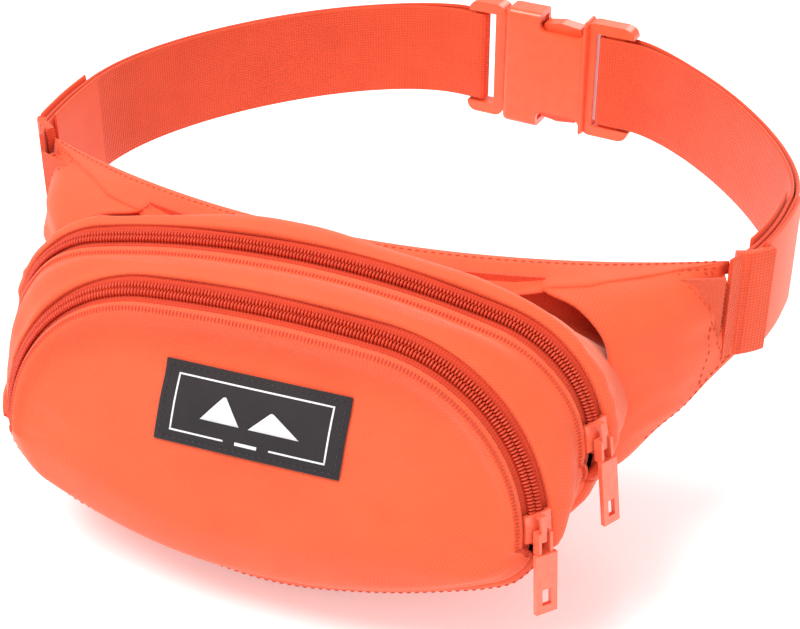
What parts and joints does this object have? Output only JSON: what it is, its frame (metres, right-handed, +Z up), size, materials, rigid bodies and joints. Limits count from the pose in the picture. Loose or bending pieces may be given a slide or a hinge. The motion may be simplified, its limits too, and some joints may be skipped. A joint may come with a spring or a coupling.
{
  "type": "hip pack",
  "caption": "Hip pack with padded wings, a main zip compartment and a front zip pocket on a webbing belt with a side-release buckle.",
  "frame": {"origin": "centre of the back pad's rear face, where it rests on the wearer, at the height of the belt's middle", "axes": "+X toward the right-hand wing as seen from the front, -Y out of the pack's front, +Y through the waist toward the buckle, +Z up"},
  "size_m": [0.272, 0.2707, 0.101],
  "materials": {
    "pack_fabric": "fine twill nylon, coral orange",
    "spacer_mesh": "knitted spacer mesh",
    "foam": "closed-cell foam covered in pack fabric",
    "lining": "plain thin nylon",
    "webbing": "ribbed nylon webbing",
    "smooth_tape": "smooth woven tape",
    "zip_coil": "nylon coil",
    "zip_tape": "woven zip tape",
    "painted_zinc": "coral paint on cast zinc",
    "acetal": "moulded acetal, coral",
    "label_weave": "black woven label with a plain white frame"
  },
  "bodies": {
    "pack": {"back_foam": "foam", "back_lining": "lining", "back_mesh": "spacer_mesh", "bottom_gusset": "pack_fabric", "front_panel": "pack_fabric", "keeper_left": "smooth_tape", "keeper_right": "smooth_tape", "label": "label_weave", "main_coil_lower": "zip_coil", "main_coil_upper": "zip_coil", "main_tape_lower": "zip_tape", "main_tape_upper": "zip_tape", "middle_panel": "pack_fabric", "pocket_coil_lower": "zip_coil", "pocket_coil_upper": "zip_coil", "pocket_divider": "lining", "pocket_tape_lower": "zip_tape", "pocket_tape_upper": "zip_tape", "strap_left": "webbing", "strap_right": "webbing", "top_panel": "pack_fabric", "wing_foam_left": "foam", "wing_foam_right": "foam", "wing_front_left": "pack_fabric", "wing_front_right": "pack_fabric"},
    "main_slider_body": {"main_slider": "painted_zinc"},
    "main_pull_body": {"main_pull": "painted_zinc"},
    "pocket_slider_body": {"pocket_slider": "painted_zinc"},
    "pocket_pull_body": {"pocket_pull": "painted_zinc"},
    "socket": {"buckle_socket": "acetal"},
    "plug": {"buckle_plug": "acetal"},
    "prong_up": {"prong_upper": "acetal"},
    "prong_down": {"prong_lower": "acetal"}
  },
  "joints": [
    {"name": "main_slider_travel", "type": "hinge", "parent": "pack", "child": "main_slider_body", "pos_m": [0.0585, -0.03997, -0.0185], "axis": [0, -0.9964, 0.0847], "range_deg": [0, 60]},
    {"name": "main_pull_swing", "type": "hinge", "parent": "main_slider_body", "child": "main_pull_body", "pos_m": [0.09994, -0.04054, -0.01282], "axis": [-0.4955, -0.8686, 0.0065], "range_deg": [0, 90]},
    {"name": "pocket_slider_travel", "type": "hinge", "parent": "pack", "child": "pocket_slider_body", "pos_m": [0.033, -0.06663, -0.0355], "axis": [0, -0.9889, 0.1483], "range_deg": [0, 72]},
    {"name": "pocket_pull_swing", "type": "hinge", "parent": "pocket_slider_body", "child": "pocket_pull_body", "pos_m": [0.09038, -0.0672, -0.03026], "axis": [-0.6403, -0.766, 0.0574], "range_deg": [0, 90]},
    {"name": "socket_pull", "type": "slide", "parent": "pack", "child": "socket", "axis": [0.9925, -0.1219, 0], "range_m": [0, 0.03], "deforming": ["strap_right", "prong_upper", "prong_lower"]},
    {"name": "plug_pull", "type": "slide", "parent": "pack", "child": "plug", "axis": [-0.9925, 0.1219, 0], "range_m": [0, 0.03], "deforming": ["strap_left", "prong_upper", "prong_lower"]},
    {"name": "prong_upper_squeeze", "type": "hinge", "parent": "plug", "child": "prong_up", "pos_m": [0.00153, 0.18315, 0.017], "axis": [0.1219, 0.9925, 0], "range_deg": [0, 7], "stiffness_Nm_per_rad": 3.5},
    {"name": "prong_lower_squeeze", "type": "hinge", "parent": "plug", "child": "prong_down", "pos_m": [0.00153, 0.18315, -0.017], "axis": [-0.1219, -0.9925, 0], "range_deg": [0, 7], "stiffness_Nm_per_rad": 3.5}
  ],
  "couplings": [
    {"joint": "prong_lower_squeeze", "follows": "prong_upper_squeeze", "ratio": 1}
  ]
}
